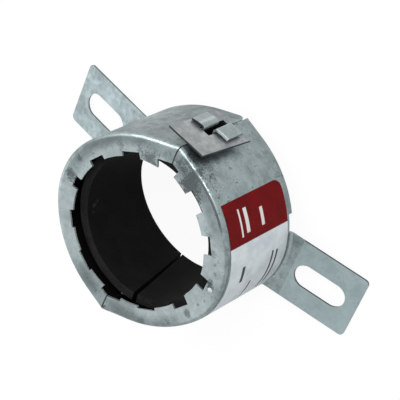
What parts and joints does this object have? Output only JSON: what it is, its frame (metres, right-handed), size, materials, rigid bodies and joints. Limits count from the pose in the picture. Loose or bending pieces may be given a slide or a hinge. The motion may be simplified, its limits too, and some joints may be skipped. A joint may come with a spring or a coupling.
{
  "type": "pipe fire collar",
  "caption": "Pressed-steel fire collar of locked halves with a black intumescent liner, toothed front flange and slotted fixing tabs, for a plastic pipe at a wall or floor.",
  "frame": {"origin": "on the pipe's axis, in the plane of the rear rim that faces the wall", "axes": "+Z along the pipe from the wall towards the toothed front flange, +X along one fixing tab, +Y near one lock"},
  "size_m": [0.1408, 0.0878, 0.0451],
  "materials": {
    "sheet_steel": "galvanised, dull with a faint spangle",
    "liner": "matte black",
    "label": "printed film, red over white"
  },
  "bodies": {
    "root": {"right_half_shell": "sheet_steel", "left_half_shell": "sheet_steel", "upper_lock_plate": "sheet_steel", "lower_lock_plate": "sheet_steel", "inner_liner_strip": "liner", "outer_liner_strip": "liner", "label_sheet": "label"}
  },
  "joints": []
}
